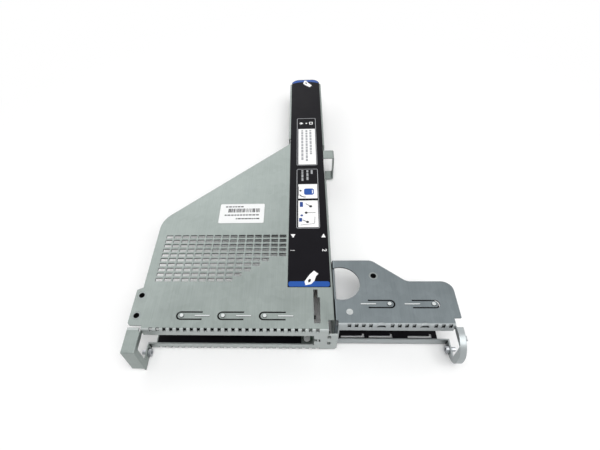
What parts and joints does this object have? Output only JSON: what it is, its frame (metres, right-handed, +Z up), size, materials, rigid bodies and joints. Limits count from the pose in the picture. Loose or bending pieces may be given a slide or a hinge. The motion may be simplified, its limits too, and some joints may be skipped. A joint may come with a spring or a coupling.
{
  "type": "riser card",
  "caption": "Server riser assembly: folded steel cage, full-height and low-profile card slots, and an upright riser board with a card connector under a long labelled bar.",
  "frame": {"origin": "under the middle of the bounding box, on the plane that the shelves rest on", "axes": "+X from the full-height slot to the low-profile slot, +Y along the bar away from the rear walls, +Z up out of the plates"},
  "size_m": [0.227, 0.3304, 0.0296],
  "materials": {
    "galvanised_steel": "satin galvanised sheet",
    "circuit_board": "satin solder mask",
    "black_plastic": "moulded matt",
    "gold": "polished plating",
    "tinned_metal": "bright tin",
    "ceramic": "fired, satin",
    "plated_steel": "zinc plated",
    "black_film": "insulating film, satin",
    "label_film": "printed film, satin",
    "sticker_paper": "matt paper"
  },
  "bodies": {
    "root": {"main_cage": "galvanised_steel", "low_profile_bay": "galvanised_steel", "riser_board": "circuit_board", "card_connector": "black_plastic", "edge_contacts": "gold", "connector_contacts": "gold", "connector_tails": "tinned_metal", "board_capacitors": "ceramic", "board_screws": "plated_steel", "slot_1_bracket_screw": "plated_steel", "slot_2_bracket_screw": "plated_steel", "ear_clinch_nuts": "plated_steel", "bay_clinch_nut": "plated_steel", "shelf_rivet": "plated_steel", "bay_stud": "plated_steel", "slot_1_film": "black_film", "slot_2_film": "black_film", "touch_label": "label_film", "part_sticker": "sticker_paper"}
  },
  "joints": []
}
